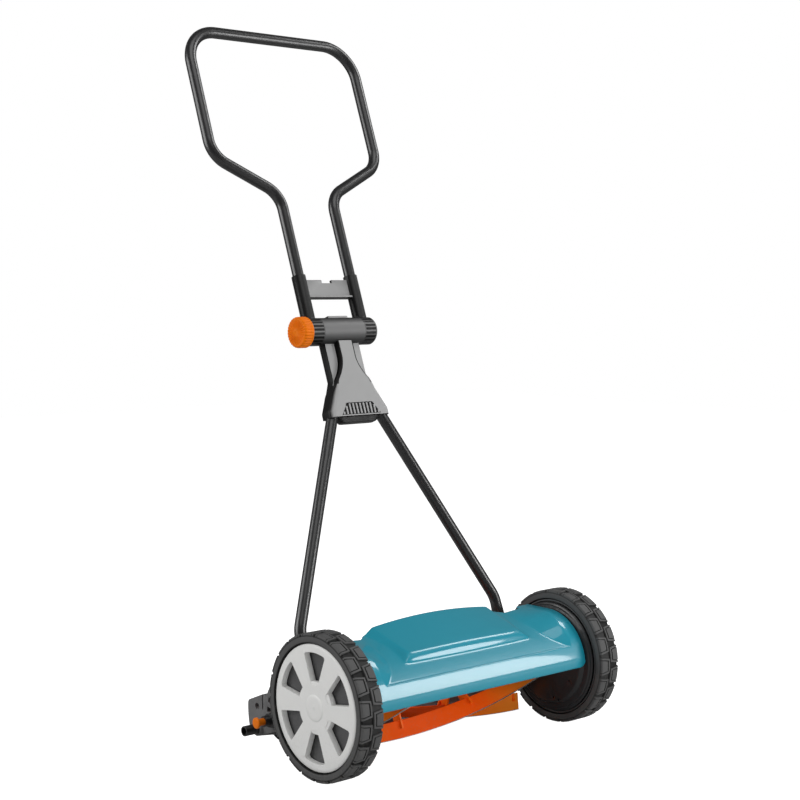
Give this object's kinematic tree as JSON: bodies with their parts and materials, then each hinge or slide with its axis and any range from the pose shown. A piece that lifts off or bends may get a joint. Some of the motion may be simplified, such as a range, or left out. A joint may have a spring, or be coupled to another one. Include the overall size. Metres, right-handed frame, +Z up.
{
  "type": "reel mower",
  "caption": "Hand-pushed reel mower: geared helical cutting reel between two treaded wheels, curved hood, rear roller with height latches and a folding loop handle.",
  "frame": {"origin": "on the ground, under the middle of the mower's bounding box", "axes": "+X across the mower to the right wheel (the clamp knob is at -X), -Y to the front where the grass goes in, +Z up"},
  "size_m": [0.542, 0.576, 1.1491],
  "materials": {
    "tyre_rubber": "matt charcoal moulded tread",
    "rim_plastic": "dark grey moulded drum and gear",
    "hubcap_plastic": "light warm grey, satin",
    "side_plastic": "black, glossy moulding",
    "arm_plastic": "grey moulding",
    "hood_paint": "teal gloss paint on pressed sheet",
    "blade_paint": "red-orange paint with a ground bare edge",
    "reel_paint": "red-orange paint",
    "shaft_steel": "machined steel",
    "bolt_steel": "zinc plated",
    "bush_brass": "sintered bronze bush",
    "knife_steel": "ground steel",
    "carrier_paint": "grey paint",
    "tube_paint": "black satin paint",
    "roller_plastic": "black moulding",
    "joint_plastic": "mid grey moulding",
    "knuckle_plastic": "dark grey moulding",
    "knob_plastic": "bright orange moulding"
  },
  "bodies": {
    "chassis": {"side_plate_left": "side_plastic", "side_plate_right": "side_plastic", "bed_bolt_left": "bolt_steel", "bed_bolt_right": "bolt_steel", "stub_axle_left": "shaft_steel", "stub_axle_right": "shaft_steel", "axle_clip_left": "shaft_steel", "axle_clip_right": "shaft_steel", "reel_bearing_left": "bush_brass", "reel_bearing_right": "bush_brass", "arm_bolt_left": "bolt_steel", "arm_bolt_right": "bolt_steel", "handle_bolt_left": "bolt_steel", "handle_bolt_right": "bolt_steel", "hood": "hood_paint", "tie_bar": "tube_paint", "bed_carrier": "carrier_paint", "bed_knife": "knife_steel", "knife_screws": "bolt_steel"},
    "left_wheel": {"tyre_left": "tyre_rubber", "wheel_left": "rim_plastic", "hubcap_left": "hubcap_plastic", "wheel_bush_left": "bush_brass"},
    "right_wheel": {"tyre_right": "tyre_rubber", "wheel_right": "rim_plastic", "hubcap_right": "hubcap_plastic", "wheel_bush_right": "bush_brass"},
    "reel": {"reel_shaft": "shaft_steel", "blade_1": "blade_paint", "blade_2": "blade_paint", "blade_3": "blade_paint", "blade_4": "blade_paint", "blade_5": "blade_paint", "spider_1": "reel_paint", "spider_2": "reel_paint", "spider_3": "reel_paint", "spider_4": "reel_paint", "pinion_left": "shaft_steel", "pinion_right": "shaft_steel", "drive_key_left": "shaft_steel", "drive_key_right": "shaft_steel"},
    "roller_frame": {"roller_arm_left": "arm_plastic", "roller_arm_right": "arm_plastic", "roller_axle": "tube_paint"},
    "roller": {"roller": "roller_plastic", "roller_bush_left": "bush_brass", "roller_bush_right": "bush_brass"},
    "left_latch": {"latch_knob_left": "knob_plastic", "latch_pin_left": "shaft_steel"},
    "right_latch": {"latch_knob_right": "knob_plastic", "latch_pin_right": "shaft_steel"},
    "lower_handle": {"lower_tube_left": "tube_paint", "lower_tube_right": "tube_paint", "joint_housing": "joint_plastic", "clamp_bolt": "bolt_steel"},
    "upper_handle": {"upper_bracket": "knuckle_plastic", "handle_loop": "tube_paint", "barrel_cap": "knuckle_plastic"},
    "clamp_knob": {"clamp_knob": "knob_plastic"}
  },
  "joints": [
    {"name": "left_wheel_spin", "type": "hinge", "parent": "chassis", "child": "left_wheel", "pos_m": [0, -0.17902, 0.109], "axis": [1, 0, 0], "continuous": true},
    {"name": "right_wheel_spin", "type": "hinge", "parent": "chassis", "child": "right_wheel", "pos_m": [0, -0.17902, 0.109], "axis": [1, 0, 0], "continuous": true},
    {"name": "reel_spin", "type": "hinge", "parent": "chassis", "child": "reel", "pos_m": [0, -0.11103, 0.08532], "axis": [1, 0, 0], "continuous": true},
    {"name": "height_swing", "type": "hinge", "parent": "chassis", "child": "roller_frame", "pos_m": [0, -0.06102, 0.057], "axis": [1, 0, 0], "range_deg": [-42, 0]},
    {"name": "roller_spin", "type": "hinge", "parent": "roller_frame", "child": "roller", "pos_m": [0, 0.02698, 0.02755], "axis": [1, 0, 0], "continuous": true},
    {"name": "left_latch_push", "type": "slide", "parent": "chassis", "child": "left_latch", "axis": [1, 0, 0], "range_m": [0, 0.008]},
    {"name": "right_latch_push", "type": "slide", "parent": "chassis", "child": "right_latch", "axis": [-1, 0, 0], "range_m": [0, 0.008]},
    {"name": "handle_tilt", "type": "hinge", "parent": "chassis", "child": "lower_handle", "pos_m": [0, -0.08932, 0.129], "axis": [1, 0, 0], "range_deg": [-45, 15]},
    {"name": "handle_fold", "type": "hinge", "parent": "lower_handle", "child": "upper_handle", "pos_m": [0, 0.09725, 0.6416], "axis": [1, 0, 0], "range_deg": [0, 150]},
    {"name": "clamp_turn", "type": "hinge", "parent": "lower_handle", "child": "clamp_knob", "pos_m": [0, 0.09725, 0.6416], "axis": [1, 0, 0], "range_deg": [0, 360]}
  ],
  "couplings": [
    {"joint": "right_wheel_spin", "follows": "left_wheel_spin", "ratio": 1},
    {"joint": "reel_spin", "follows": "left_wheel_spin", "ratio": 6.1429}
  ]
}
